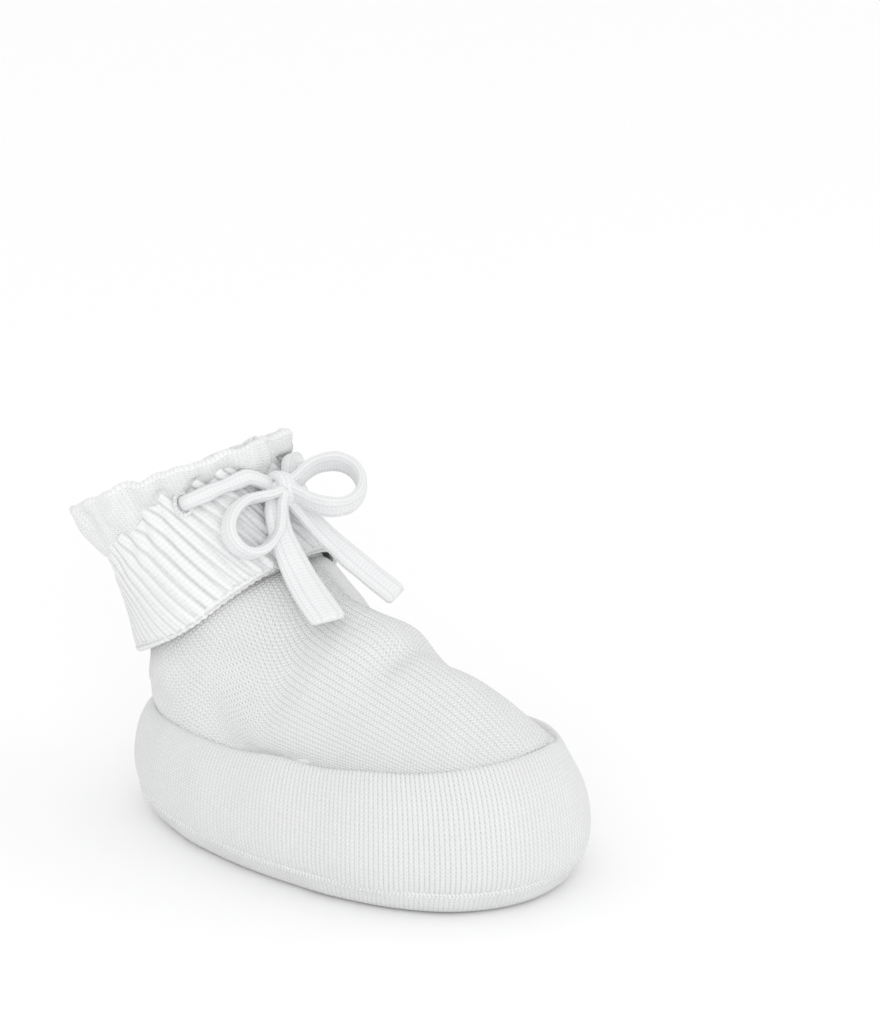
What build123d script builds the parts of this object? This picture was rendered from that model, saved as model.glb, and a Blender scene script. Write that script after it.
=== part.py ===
from build123d import *
import os
from math import copysign, cos, pi, radians, sin

# A knitted baby bootie: a soft sole with a turned-up edge, a padded side band, an upper that rises
# to the ankle, a turned-down ribbed cuff, a ruffle and a flat drawstring tied in a bow.
# Millimetres. +Z is up, the toe points to -Y, the origin is the centre of the sole's flat underside.

# The sole's outline and the padded side
SOLE_LENGTH = 108.0
SOLE_WIDTH = 63.5
TOE_BREADTH = 0.13        # the toe half is this much wider than the middle, the heel this much narrower
SQUARENESS = 2.2          # 2 is an ellipse, more is squarer
OUTLINE_POINTS = 36
KNIT = 1.3                # one layer of cotton knit
LINING = 1.0
WADDING = 3.2
GAP = 0.1                 # between neighbouring layers
PANEL_EDGE = 4.4          # how far the sole panel turns up
PANEL_OUTSIDE = ((5.0, 0.0), (2.9, 1.5), (1.3, PANEL_EDGE))    # inset and height, from the bottom up
PANEL_INSIDE = ((5.2, KNIT), (2.7, PANEL_EDGE + 1.0))
SOLE_SEAM_INSET = 0.7
PAD_INSET = 5.4
SEAM_HEIGHT = 1.2
SEAM_DEPTH = 1.8
BULGE_HEIGHT = 11.0
FOOT_INSET = 0.8          # the padded side's skin where it meets the sole seam
MIDDLE_SHARE = 0.72       # the skin's third level, as a share of the top seam's height
MIDDLE_INSET, MIDDLE_TOE_INSET = 0.9, 1.2
SEAM_HEEL, SEAM_TOE = 21.5, 31.0
SEAM_INSET, SEAM_TOE_INSET = 3.5, 5.5
BAND_INSET, BAND_TOE_INSET = 3.2, 5.0     # the skin just under the top seam
SEAM_HALF = 0.8           # half of the room that the top seam takes
HEEL_SEAM_WIDTH = 3.0
INSOLE_THICKNESS = 3.4

# Levels of the upper from the seam to the ankle: the front edge's y and z, the back edge's y and z,
# half the width, the squareness and the toe breadth.
UPPER_LEVELS = (
    (-48.5, 31.3, 50.4, 22.7, 28.2, 2.20, 0.13),
    (-43.0, 35.6, 50.2, 24.2, 27.0, 2.05, 0.12),
    (-33.0, 41.0, 50.0, 25.6, 25.8, 1.90, 0.10),
    (-18.0, 46.6, 49.8, 27.0, 24.4, 1.85, 0.06),
    (-3.0, 51.2, 49.5, 28.6, 23.0, 1.90, 0.03),
    (5.5, 54.4, 49.1, 31.5, 21.6, 2.00, 0.02),
    (11.0, 56.6, 48.9, 34.2, 20.4, 2.00, 0.0),
    (15.4, 57.4, 49.7, 37.6, 19.8, 2.00, 0.0),
)
STRETCH_LEVEL = 4         # from this level up the knit bends with the ankle
STRETCH_GAP = 0.05

# The ankle: everything from the hem up is round about an axis that leans back.
ANKLE_LEAN = 30.0
HEM_CENTRE = (0.0, 30.8, 44.5)
STRING_HEIGHT = 18.5      # along the leaning axis, as are all heights below
LEG_PROFILE = ((19.8, 3.7), (19.3, 8.0), (18.4, 13.0), (17.8, STRING_HEIGHT), (18.2, 22.2))
CUFF_TOP = 21.8
CUFF_PROFILE = ((22.9, -3.0), (22.6, 4.0), (22.1, 10.0), (21.5, 15.0), (21.4, STRING_HEIGHT), (21.4, CUFF_TOP))
FRILL_PROFILE = ((21.5, 22.0), (22.4, 25.0), (23.6, 29.0), (24.6, 32.5))
FRILL_THICKNESS = 2.2
FRILL_TRIM = ((-26.0, 28.5), (0.0, 31.0), (26.0, 32.3))
HEM_CURVE = ((-26.0, 4.8), (-22.5, 4.0), (-15.0, 1.8), (-7.0, -0.4), (2.0, -1.0), (12.0, -0.6), (26.0, 0.0))
HEM_HEIGHT, HEM_INNER, HEM_OUTER = 1.5, 21.5, 23.1
TALL = 60.0               # longer than any piece, for cutters

# The drawstring: a flat knitted cord
STRING_WIDTH, STRING_THICKNESS = 4.4, 1.7
STRING_INSIDE, STRING_OUTSIDE = 18.1, 21.6    # its inner radius in the casing and along the front
EYELET_ANGLE = 58.0       # from the front, each side
EYELET_RIM = 0.5
EYELET_ROOM = 0.2
EYELET_INNER, EYELET_OUTER = 20.15, 21.35     # the radii that the overcast rim lies between
KNOT_RADIUS = 3.7
KNOT_OUT = 25.3           # the knot's distance in front of the ankle's axis
FRONT_END_ANGLE = 8.5     # where the cord meets the knot

# The bow: loops and tails of the same cord
BOW_THICKNESS = 2.0
LOOP_WIDTH, TAIL_WIDTH = 5.0, 5.0
LOOP_OUTLINE = ((4.6, 1.2), (7.5, 2.6), (12.0, 4.7), (17.0, 5.2), (21.0, 3.2), (21.9, 0.0))
LOOP_LEFT_ALONG, LOOP_LEFT_FACE = (-0.93, 0.20, -0.30), (-0.21, -0.975, 0.0)
LOOP_LEFT_OUT = 1.6
LOOP_RIGHT_ALONG, LOOP_RIGHT_FACE = (0.76, -0.65, 0.0), (-0.65, -0.76, 0.0)
TAIL_LEFT = ((-1.4, 17.3, 67.7), (-2.2, 14.7, 64.5), (-3.5, 10.9, 61.2), (-5.5, 4.8, 58.0), (-8.0, -2.8, 55.0))
TAIL_RIGHT = ((4.0, 15.9, 68.2), (4.8, 12.4, 65.2), (5.8, 7.9, 61.6), (7.0, 2.3, 57.8), (8.4, -4.3, 54.6))

ANKLE = Plane(
    origin=HEM_CENTRE,
    x_dir=(1, 0, 0),
    z_dir=(0, sin(radians(ANKLE_LEAN)), cos(radians(ANKLE_LEAN))),
)


def save(name, solid):
    """Write one node."""
    export_step(solid, f"parts/{name}.step")


def only_solid(shape):
    """The one solid in a boolean's result."""
    solids = shape.solids()
    assert len(solids) == 1, f"expected one solid, found {len(solids)}"
    return solids[0]


def power(value, squareness):
    return copysign(abs(value) ** (2 / squareness), value)


def closed_wire(points):
    return Wire([Edge.make_spline(points, periodic=True)])


def sole_wire(inset, heel_z, toe_z, toe_inset=None):
    """The sole's egg outline, drawn in by inset, on a plane that rises from the heel to the toe."""
    points = []
    for i in range(OUTLINE_POINTS):
        angle = 2 * pi * i / OUTLINE_POINTS
        toeward, sideways = power(cos(angle), SQUARENESS), power(sin(angle), SQUARENESS)
        end = inset if toe_inset is None or toeward < 0 else toe_inset
        y = -toeward * (SOLE_LENGTH / 2 - end)
        x = sideways * (SOLE_WIDTH / 2 - inset) * (1 + TOE_BREADTH * cos(angle))
        z = heel_z + (toe_z - heel_z) * (0.5 - y / SOLE_LENGTH)
        points.append((x, y, z))
    return closed_wire(points)


def egg_solid(levels):
    """A solid lofted through (inset, heel z, toe z, toe inset) levels."""
    return Solid.make_loft([sole_wire(*level) for level in levels])


def flat_egg(levels):
    """A solid lofted through (inset, height) levels, each level with the floor."""
    return egg_solid([(inset, height, height, inset) for inset, height in levels])


def drawn_in(levels, wall, stretch=0.0):
    """The same levels with every inset larger by wall, the last and first moved out by stretch."""
    moved = []
    for i, (inset, heel_z, toe_z, toe_inset) in enumerate(levels):
        shift = -stretch if i == 0 else stretch if i == len(levels) - 1 else 0.0
        moved.append((inset + wall, heel_z + shift, toe_z + shift, toe_inset + wall))
    return moved


def band_levels(wall):
    """The padded side's outer skin drawn in by wall, from the sole seam to just under the top seam."""
    bottom = PANEL_EDGE + SEAM_HEIGHT + 2 * GAP
    middle_heel, middle_toe = MIDDLE_SHARE * SEAM_HEEL, MIDDLE_SHARE * SEAM_TOE
    top_heel, top_toe = SEAM_HEEL - SEAM_HALF, SEAM_TOE - SEAM_HALF
    levels = (
        (FOOT_INSET, bottom, bottom, FOOT_INSET),
        (0.0, BULGE_HEIGHT, BULGE_HEIGHT, 0.0),
        (MIDDLE_INSET, middle_heel, middle_toe, MIDDLE_TOE_INSET),
        (BAND_INSET, top_heel, top_toe, BAND_TOE_INSET),
    )
    return drawn_in(levels, wall)


def band_ring(outer, inner):
    """One layer of the padded side, between two depths from the skin."""
    hollow = drawn_in(band_levels(inner), 0.0, stretch=1.0)
    return only_solid(egg_solid(band_levels(outer)) - egg_solid(hollow))


def flat_ring(inset, toe_inset, depth, height, heel_z, toe_z):
    """A flat seam that lies on a plane rising from the heel to the toe."""
    face = Face(
        sole_wire(inset, heel_z, toe_z, toe_inset),
        [sole_wire(inset + depth, heel_z, toe_z, toe_inset + depth)],
    )
    rise = (toe_z - heel_z) / SOLE_LENGTH
    return Solid.extrude(face, Vector(0, rise, 1).normalized() * height)


def upper_wire(level, wall):
    """One level of the upper, drawn in by wall: a tilted egg that is round at the ankle."""
    front_y, front_z, back_y, back_z, half_width, squareness, breadth = level
    front, back = Vector(0, front_y, front_z), Vector(0, back_y, back_z)
    centre = (front + back) / 2
    forward = (front - back).normalized()
    half_length = (front - back).length / 2 - wall
    points = []
    for i in range(OUTLINE_POINTS):
        angle = 2 * pi * i / OUTLINE_POINTS
        along = forward * (power(cos(angle), squareness) * half_length)
        across = power(sin(angle), squareness) * (half_width - wall) * (1 + breadth * cos(angle))
        points.append(centre + along + Vector(across, 0, 0))
    return closed_wire(points)


def upper_solid(levels, wall):
    return Solid.make_loft([upper_wire(level, wall) for level in levels])


def shifted(level, z):
    front_y, front_z, back_y, back_z, *rest = level
    return (front_y, front_z + z, back_y, back_z + z, *rest)


def upper_shell(levels, outer, inner):
    """The knit between two depths; the hollow runs past both ends."""
    hollow = [shifted(levels[0], -1.0), *levels[1:-1], shifted(levels[-1], 1.0)]
    return only_solid(upper_solid(levels, outer) - upper_solid(hollow, inner))


def revolved(profile, thickness):
    """A tube about the ankle's axis whose outside follows (radius, height) points."""
    outside = [Vector(radius, 0, height) for radius, height in profile]
    inside = [Vector(radius - thickness, 0, height) for radius, height in profile]
    edges = [
        Edge.make_spline(outside),
        Edge.make_line(outside[-1], inside[-1]),
        Edge.make_spline(inside[::-1]),
        Edge.make_line(inside[0], outside[0]),
    ]
    return Solid.revolve(Face(Wire(edges)), 360, Axis.Z)


def tube(inner, outer, low, high):
    ring = Solid.make_cylinder(outer, high - low) - Solid.make_cylinder(inner, high - low)
    return Pos(0, 0, low) * ring


def side_cut(curve, low, high):
    """The slab between low and high over a (fore-aft, height) curve, as wide as the ankle."""
    bottom = [Vector(-TALL / 2, y, z + low) for y, z in curve]
    top = [Vector(-TALL / 2, y, z + high) for y, z in curve]
    edges = [
        Edge.make_spline(bottom),
        Edge.make_line(bottom[-1], top[-1]),
        Edge.make_spline(top[::-1]),
        Edge.make_line(top[0], bottom[0]),
    ]
    return Solid.extrude(Face(Wire(edges)), Vector(TALL, 0, 0))


def turned(shape, angle):
    """Swing a shape about the ankle's axis, from the front towards +X."""
    return Rot(0, 0, angle) * shape


def front_box(half_width, inner, outer, low, high):
    """A block on the ankle's front, between two radii and two heights."""
    size = (2 * half_width, outer - inner, high - low)
    return Pos(0, -(inner + outer) / 2, (low + high) / 2) * Solid.make_box(
        *size, plane=Plane((-half_width, -size[1] / 2, -size[2] / 2))
    )


def front_arc(inner, outer, low, high, start, end):
    """A stretch of flat ring between two angles from the front."""
    face = Face(
        Wire(
            Polyline(
                (inner, 0, low), (outer, 0, low), (outer, 0, high), (inner, 0, high), (inner, 0, low)
            ).edges()
        )
    )
    arc = Solid.revolve(face, end - start, Axis.Z)
    return Rot(0, 0, -90 + start) * arc


def arc_radii(points):
    """The largest tangent arc at each inner point: 0.45 of the shorter run over tan(half the turn)."""
    radii = []
    for before, here, after in zip(points, points[1:], points[2:]):
        first, second = here - before, after - here
        turn = radians(first.get_angle(second))
        radii.append(0.45 * min(first.length, second.length) / (sin(turn / 2) / cos(turn / 2)))
    return radii


def band_along(name, points, width_direction, width):
    """A flat cord swept along runs and tangent arcs."""
    points = [Vector(*p) for p in points]
    radii = arc_radii(points)
    path = FilletPolyline(*points, radius=radii)
    start = Plane(origin=path @ 0, x_dir=width_direction, z_dir=path % 0)
    solid = only_solid(sweep(start * Rectangle(width, BOW_THICKNESS), path=path))
    expected = width * BOW_THICKNESS * path.length
    print(name, "length", round(path.length, 1), "radii", [round(r, 1) for r in radii])
    print(name, "volume over section x length", round(solid.volume / expected, 3))
    return solid


def bow_loop(name, origin, along, face):
    """One loop of the bow: a flat cord that leaves the knot and comes back to it."""
    along, face = Vector(*along).normalized(), Vector(*face).normalized()
    across = face.cross(along)
    go = [origin + along * s + across * t for s, t in LOOP_OUTLINE]
    back = [origin + along * s - across * t for s, t in LOOP_OUTLINE[-2::-1]]
    return band_along(name, go + back, face, LOOP_WIDTH)


def tail_width_direction(points):
    """Level, and square to the way the tail goes."""
    first, last = Vector(*points[0]), Vector(*points[-1])
    return Vector(0, 0, 1).cross(last - first).normalized()


def level_path(points):
    """The same route moved into the upright plane through its ends."""
    first, last = Vector(*points[0]), Vector(*points[-1])
    side = tail_width_direction(points)
    moved = []
    for point in points:
        place = Vector(*point)
        moved.append(place - side * side.dot(place - first))
    return [tuple(place) for place in moved]


def make_foot():
    save("sole_panel", only_solid(flat_egg(PANEL_OUTSIDE) - flat_egg(PANEL_INSIDE)))

    pad_bottom = KNIT + GAP
    pad_top = pad_bottom + INSOLE_THICKNESS
    save("insole_pad", flat_egg(((PAD_INSET, pad_bottom), (PAD_INSET, pad_top))))
    cover_inset = FOOT_INSET + KNIT + WADDING + LINING + 5 * GAP
    cover_bottom = pad_top + GAP
    save("insole_cover", flat_egg(((cover_inset, cover_bottom), (cover_inset, cover_bottom + LINING))))

    seam_bottom = PANEL_EDGE + GAP
    sole_seam = flat_ring(SOLE_SEAM_INSET, SOLE_SEAM_INSET, SEAM_DEPTH, SEAM_HEIGHT, seam_bottom, seam_bottom)
    save("sole_seam", sole_seam)
    wadding_start = KNIT + GAP
    lining_start = wadding_start + WADDING + GAP
    save("side_band", band_ring(0.0, KNIT))
    save("band_wadding", band_ring(wadding_start, wadding_start + WADDING))
    save("band_lining", band_ring(lining_start, lining_start + LINING))
    seam_low = SEAM_HALF - GAP
    save("top_seam", flat_ring(SEAM_INSET - GAP, SEAM_TOE_INSET - GAP, SEAM_DEPTH, 2 * seam_low,
                               SEAM_HEEL - seam_low, SEAM_TOE - seam_low))

    lower, stretch = UPPER_LEVELS[:STRETCH_LEVEL + 1], UPPER_LEVELS[STRETCH_LEVEL:]
    save("upper", upper_shell(lower, 0.0, KNIT))
    stretch = [shifted(stretch[0], STRETCH_GAP), *stretch[1:]]
    save("ankle_stretch", upper_shell(stretch, 0.0, KNIT))
    inside = upper_shell(lower, KNIT + GAP, KNIT + GAP + LINING)
    strip = Pos(0, 3 * SOLE_LENGTH / 8, SEAM_TOE) * Box(HEEL_SEAM_WIDTH, SOLE_LENGTH / 4, TALL)
    save("heel_seam", only_solid(inside & strip))


def make_ankle():
    save("ankle_tube", ANKLE.location * revolved(LEG_PROFILE, KNIT))

    hem_wall = tube(HEM_INNER, HEM_OUTER, -TALL / 4, TALL / 4)
    save("cuff_hem", ANKLE.location * only_solid(hem_wall & side_cut(HEM_CURVE, 0.0, HEM_HEIGHT)))
    cuff = revolved(CUFF_PROFILE, KNIT) & side_cut(HEM_CURVE, HEM_HEIGHT + GAP, TALL)
    half_hole = STRING_THICKNESS / 2 + EYELET_ROOM
    half_height = STRING_WIDTH / 2 + EYELET_ROOM
    low, high = STRING_HEIGHT - half_height, STRING_HEIGHT + half_height
    through = (STRING_INSIDE, KNOT_OUT)
    hole = front_box(half_hole + EYELET_RIM, *through, low - EYELET_RIM, high + EYELET_RIM)
    opening = front_box(half_hole, *through, low, high)
    wall = tube(EYELET_INNER, EYELET_OUTER, 0.0, CUFF_TOP)
    rim_half = half_hole + EYELET_RIM - GAP / 2
    rim_low, rim_high = low - EYELET_RIM + GAP / 2, high + EYELET_RIM - GAP / 2
    room = front_box(rim_half, *through, rim_low, rim_high)
    rim = (wall & room) - opening
    for side, name in ((-1, "eyelet_left"), (1, "eyelet_right")):
        cuff = cuff - turned(hole, side * EYELET_ANGLE)
        save(name, ANKLE.location * only_solid(turned(rim, side * EYELET_ANGLE)))
    save("rib_cuff", ANKLE.location * only_solid(cuff))

    frill = revolved(FRILL_PROFILE, FRILL_THICKNESS) & side_cut(FRILL_TRIM, -TALL, 0.0)
    save("frill", ANKLE.location * only_solid(frill))

    half = STRING_WIDTH / 2
    low, high = STRING_HEIGHT - half, STRING_HEIGHT + half
    inner = (STRING_INSIDE, STRING_INSIDE + STRING_THICKNESS)
    outer = (STRING_OUTSIDE, STRING_OUTSIDE + STRING_THICKNESS)
    string = front_arc(*inner, low, high, EYELET_ANGLE, 360 - EYELET_ANGLE)
    through = front_box(STRING_THICKNESS / 2, inner[0], outer[1], low, high)
    for side in (-1, 1):
        string = string + turned(through, side * EYELET_ANGLE)
    string = string + front_arc(*outer, low, high, FRONT_END_ANGLE, EYELET_ANGLE)
    string = string + front_arc(*outer, low, high, -EYELET_ANGLE, -FRONT_END_ANGLE)
    save("drawstring", ANKLE.location * only_solid(string))
    save("bow_knot", ANKLE.location * (Pos(0, -KNOT_OUT, STRING_HEIGHT) * Solid.make_sphere(KNOT_RADIUS)))


def make_bow():
    knot = ANKLE.from_local_coords(Vector(0, -KNOT_OUT, STRING_HEIGHT))
    print("knot centre", [round(v, 2) for v in knot])
    along = ANKLE.from_local_coords(Vector(*LOOP_LEFT_ALONG)) - Vector(*HEM_CENTRE)
    face = ANKLE.from_local_coords(Vector(*LOOP_LEFT_FACE)) - Vector(*HEM_CENTRE)
    save("bow_loop_left", bow_loop("loop_left", knot + face.normalized() * LOOP_LEFT_OUT, along, face))
    save("bow_loop_right", bow_loop("loop_right", knot, LOOP_RIGHT_ALONG, LOOP_RIGHT_FACE))
    for name, route in (("bow_tail_left", TAIL_LEFT), ("bow_tail_right", TAIL_RIGHT)):
        save(name, band_along(name, level_path(route), tail_width_direction(route), TAIL_WIDTH))


os.makedirs("parts", exist_ok=True)
make_foot()
make_ankle()
make_bow()
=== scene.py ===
"""A knitted baby bootie: its fabric, seams, ribs, ruffle and bow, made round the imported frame.

Sizes are in millimetres and become metres when a mesh is made.
"""
import math

import bpy
import numpy as np
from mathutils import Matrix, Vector


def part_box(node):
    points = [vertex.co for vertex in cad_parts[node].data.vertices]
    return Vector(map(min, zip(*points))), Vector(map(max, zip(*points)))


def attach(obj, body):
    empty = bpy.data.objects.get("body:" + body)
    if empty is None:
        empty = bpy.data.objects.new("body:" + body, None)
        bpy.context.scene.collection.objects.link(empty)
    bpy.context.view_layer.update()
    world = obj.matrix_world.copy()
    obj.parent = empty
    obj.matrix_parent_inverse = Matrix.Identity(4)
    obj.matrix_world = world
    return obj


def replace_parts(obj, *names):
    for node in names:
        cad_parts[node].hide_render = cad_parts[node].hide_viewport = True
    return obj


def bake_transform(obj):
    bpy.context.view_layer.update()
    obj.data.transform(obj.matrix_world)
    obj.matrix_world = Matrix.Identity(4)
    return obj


MM = 0.001
TURN = 2 * math.pi

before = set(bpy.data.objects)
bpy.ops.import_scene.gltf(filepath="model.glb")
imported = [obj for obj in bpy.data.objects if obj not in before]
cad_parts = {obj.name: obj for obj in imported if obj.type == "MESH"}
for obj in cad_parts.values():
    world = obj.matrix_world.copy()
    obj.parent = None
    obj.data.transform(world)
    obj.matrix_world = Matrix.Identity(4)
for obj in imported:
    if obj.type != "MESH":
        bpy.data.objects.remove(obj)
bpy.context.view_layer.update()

# The sole's egg outline
SOLE_LENGTH, SOLE_WIDTH = 108.0, 63.5
TOE_BREADTH = 0.13
SEAM_HEEL, SEAM_TOE = 21.5, 31.0  # heights of the crease between the side and the upper
SQUARENESS = 2.2
TOE_SLUMP = (2.2, 0.0, 1.9)       # how far the soft toe leans
SLUMP_X, SLUMP_Y, SLUMP_Z = (4.0, 22.0), (2.0, 24.0), (14.0, 28.0)  # where that starts and is full
OUTLINE_POINTS = 4001

KNIT = 1.3                        # thickness of the knit
WALE, COURSE = 1.05, 0.8          # one stitch across and along
SIDE_WALES = 264
POINTS_PER_WALE = 6
WALE_RELIEF = 0.16

# Levels of the padded side, from the sole seam to the crease: inset, toe inset, heel z and toe z
BAND_LEVELS = (
    (2.0, 2.0, 5.2, 5.2),
    (0.7, 0.7, 6.4, 6.4),
    (0.0, 0.0, 10.5, 10.5),
    (0.3, 0.5, 14.5, 17.0),
    (1.2, 1.8, 18.0, 24.0),
    (2.6, 3.8, 20.7, 28.7),
    (3.9, 5.4, 21.8, 31.2),
    (5.0, 6.7, 21.5, 31.0),
    (5.4, 7.4, 20.4, 29.6),
)
PANEL_LEVELS = (
    (9.0, 9.0, 0.0, 0.0),
    (5.2, 5.2, 0.15, 0.15),
    (2.9, 2.9, 1.6, 1.6),
    (1.4, 1.4, 4.7, 4.7),
)
SOLE_SEAM_LEVEL = (1.5, 1.5, 5.2, 5.2)
TOP_SEAM_LEVEL = (5.7, 7.7, 20.3, 29.7)

# Levels of the upper, from the crease to the ankle: front y and z, back y and z, half width,
# squareness and toe breadth
UPPER_LEVELS = (
    (-45.8, 29.4, 48.6, 20.2, 26.6, 2.20, 0.13),
    (-46.9, 30.9, 48.9, 21.8, 27.0, 2.20, 0.13),
    (-43.0, 35.8, 50.0, 23.9, 26.3, 2.20, 0.12),
    (-33.0, 41.2, 50.0, 25.6, 25.7, 2.15, 0.11),
    (-18.0, 47.4, 49.8, 27.0, 24.7, 2.10, 0.08),
    (-3.0, 52.3, 49.5, 28.6, 23.4, 2.05, 0.05),
    (5.5, 54.6, 49.1, 31.5, 21.6, 2.00, 0.02),
    (11.0, 56.6, 48.9, 34.2, 20.4, 2.00, 0.00),
    (15.4, 57.4, 49.7, 37.6, 19.8, 2.00, 0.00),
)

# The ankle: heights run along its leaning axis. A profile pairs heights with radii, and the hem's curve
# and the frill's trim pair places from the front to the back with heights.
LEAN = math.radians(30.0)
HEM_CENTRE = (0.0, 30.8, 44.5)
STRING_HEIGHT = 18.5
SIDE_RISE = 5.0                   # how much higher the drawstring lies at the eyelets
LEG_PROFILE = ((3.0, 19.9), (8.0, 19.3), (13.0, 18.4), (18.5, 17.8), (24.0, 18.4), (29.0, 20.6))
CUFF_PROFILE = ((-3.0, 23.1), (4.0, 22.7), (10.0, 22.2), (15.0, 21.7), (18.5, 21.2), (21.8, 21.5))
FRILL_PROFILE = ((20.6, 21.4), (22.0, 21.9), (25.0, 23.0), (29.0, 23.9), (33.0, 24.9))
HEM_CURVE = ((-26.0, 4.8), (-22.5, 4.0), (-15.0, 1.8), (-7.0, -0.4), (2.0, -1.0), (12.0, -0.6), (26.0, 0.0))
FRILL_TRIM = ((-26.0, 28.8), (0.0, 31.0), (26.0, 32.3))
HEM_RADIUS, CAST_OFF_RADIUS, TRIM_RADIUS = 22.6, 22.55, 24.0
RIBS = 52
RIB_TWIST = 0.028                 # radians that the ribs turn for each millimetre of height
EYELET_ANGLE = math.radians(52.0)
EYELET_HALF_WIDTH, EYELET_HALF_HEIGHT = 1.6, 2.3
CUFF_RADIUS, EYELET_OUT = 21.6, 0.3  # the cuff's radius at the eyelets, and how far their rims stand out

# The flat cord of the bow, and its routes
CORD_WIDTH, CORD_THICKNESS = 5.2, 2.2
KNOT_CENTRE = (-1.3, 18.14, 73.17)
LOOP_LEFT_OUTLINE = ((0.8, 0.2), (3.4, 1.2), (5.6, 3.0), (8.8, 5.0), (13.0, 5.2), (16.4, 3.4), (17.4, 0.0))
LOOP_RIGHT_OUTLINE = ((0.8, 0.2), (3.4, 1.9), (5.6, 4.2), (9.0, 6.2), (13.0, 6.2), (16.0, 3.9), (17.2, 0.0))
LOOP_LEFT_ALONG, LOOP_LEFT_FACE = (-0.86, 0.02, -0.51), (-0.30, -0.82, 0.49)
LOOP_RIGHT_ALONG, LOOP_RIGHT_FACE = (0.76, -0.65, 0.06), (-0.38, -0.36, 0.85)
LOOP_LEFT_LIFT, LOOP_RIGHT_LIFT = 1.6, 0.0
TAIL_LEFT_WIDE, TAIL_RIGHT_WIDE = (0.96, -0.29, 0.0), (0.62, 0.55, 0.56)
TAIL_LEFT_END, TAIL_RIGHT_END = 8.4, 6.2
TAIL_LEFT = (
    (-1.9, 18.6, 73.6), (-5.1, 16.2, 70.6), (-6.1, 14.4, 66.2), (-6.7, 11.0, 61.2), (-8.0, 5.2, 55.8),
    (-10.0, -2.2, 51.4),
)
TAIL_RIGHT = (
    (-0.9, 18.6, 73.8), (0.9, 15.6, 70.4), (2.1, 12.8, 66.8), (3.5, 8.6, 62.9), (5.5, 2.4, 58.1),
    (8.2, -5.2, 52.5),
)


# ---- numbers ---------------------------------------------------------------------------------------

WRINKLE_WAVES = 9
WAVELENGTH_SPREAD = (0.7, 1.6)


def ramp(value, start, end):
    """A soft step: 0 up to start and 1 from end on."""
    share = np.clip((value - start) / (end - start), 0.0, 1.0)
    return share * share * (3 - 2 * share)


def fade(value, start, end):
    """A soft step down: 1 up to start and 0 from end on."""
    return ramp(-value, -end, -start)


def cubic(keys, values, places):
    """A natural cubic through values given at keys, read at places."""
    keys, values = np.asarray(keys, float), np.asarray(values, float)
    flat = values.reshape(len(keys), -1)
    step = np.diff(keys)
    system, right = np.eye(len(keys)), np.zeros_like(flat)
    slope = np.diff(flat, axis=0) / step[:, None]
    for i in range(1, len(keys) - 1):
        system[i, i - 1:i + 2] = step[i - 1], 2 * (step[i - 1] + step[i]), step[i]
        right[i] = 6 * (slope[i] - slope[i - 1])
    bend = np.linalg.solve(system, right)
    places = np.asarray(places, float)
    i = np.clip(np.searchsorted(keys, places.ravel()) - 1, 0, len(keys) - 2)
    t, h = (places.ravel() - keys[i])[:, None], step[i][:, None]
    start = slope[i] - h * (2 * bend[i] + bend[i + 1]) / 6
    read = flat[i] + t * start + t * t * bend[i] / 2 + t ** 3 * (bend[i + 1] - bend[i]) / (6 * h)
    return read.reshape(places.shape + values.shape[1:])


def curve_at(pairs, places):
    """A curve given as (place, value) pairs, read at places."""
    keys, values = zip(*pairs)
    return cubic(keys, values, places)


def even_levels(levels, rows):
    """The levels' own curve at evenly spaced rows."""
    levels = np.asarray(levels)
    return cubic(np.arange(len(levels)), levels, np.linspace(0, len(levels) - 1, rows))


def power(value, squareness):
    """A sine or cosine that makes a round outline squarer as squareness grows past 2."""
    return np.sign(value) * np.abs(value) ** (2 / squareness)


def wrinkles(points, height, wavelength, seed):
    """Smooth soft noise at the points, between about -height and height."""
    random = np.random.default_rng(seed)
    total = np.zeros(points.shape[:-1])
    for _ in range(WRINKLE_WAVES):
        direction = random.normal(size=3)
        direction *= TURN / (wavelength * random.uniform(*WAVELENGTH_SPREAD) * np.linalg.norm(direction))
        total += np.cos(points @ direction + random.uniform(0, TURN))
    return total / math.sqrt(WRINKLE_WAVES) * height


def unit(vectors):
    return vectors / np.maximum(np.linalg.norm(vectors, axis=-1, keepdims=True), 1e-9)


# ---- lines -----------------------------------------------------------------------------------------

def line_distance(line):
    """How far along a line of points each one lies."""
    return np.concatenate([[0], np.cumsum(np.linalg.norm(np.diff(line, axis=0), axis=1))])


def line_tangents(line, closed):
    if closed:
        return unit(np.roll(line, -1, axis=0) - np.roll(line, 1, axis=0))
    return unit(np.gradient(line, axis=0))


def route_line(points):
    """The smooth line of a route: a NURBS spline with the points as its control points."""
    data = bpy.data.curves.new("route", "CURVE")
    data.dimensions = "3D"
    data.resolution_u = 20
    spline = data.splines.new("NURBS")
    spline.points.add(len(points) - 1)
    for point, place in zip(spline.points, points):
        point.co = (*(Vector(place) * MM), 1.0)
    spline.order_u = 3
    spline.use_endpoint_u = True
    curve = bpy.data.objects.new("route", data)
    mesh = bpy.data.meshes.new_from_object(curve)
    line = np.array([vertex.co for vertex in mesh.vertices]) / MM
    bpy.data.objects.remove(curve)
    return line


# ---- meshes ----------------------------------------------------------------------------------------

EDGE_STEPS = 3                    # rows that round off the edge of a skin


def grid_normals(grid):
    """Outward normals of rows of points that run round the object from the front towards +X."""
    along = np.gradient(grid, axis=0)
    across = np.roll(grid, -1, axis=1) - np.roll(grid, 1, axis=1)
    return unit(np.cross(across, along))


def pushed(grid, amount):
    """The rows of points moved outward, each point by its own amount."""
    return grid + grid_normals(grid) * amount[..., None]


def row_distance(grid):
    """How far each row lies along the grid, averaged over its columns."""
    steps = np.linalg.norm(np.diff(grid, axis=0), axis=2).mean(1)
    return np.concatenate([[0], np.cumsum(steps)])


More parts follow.
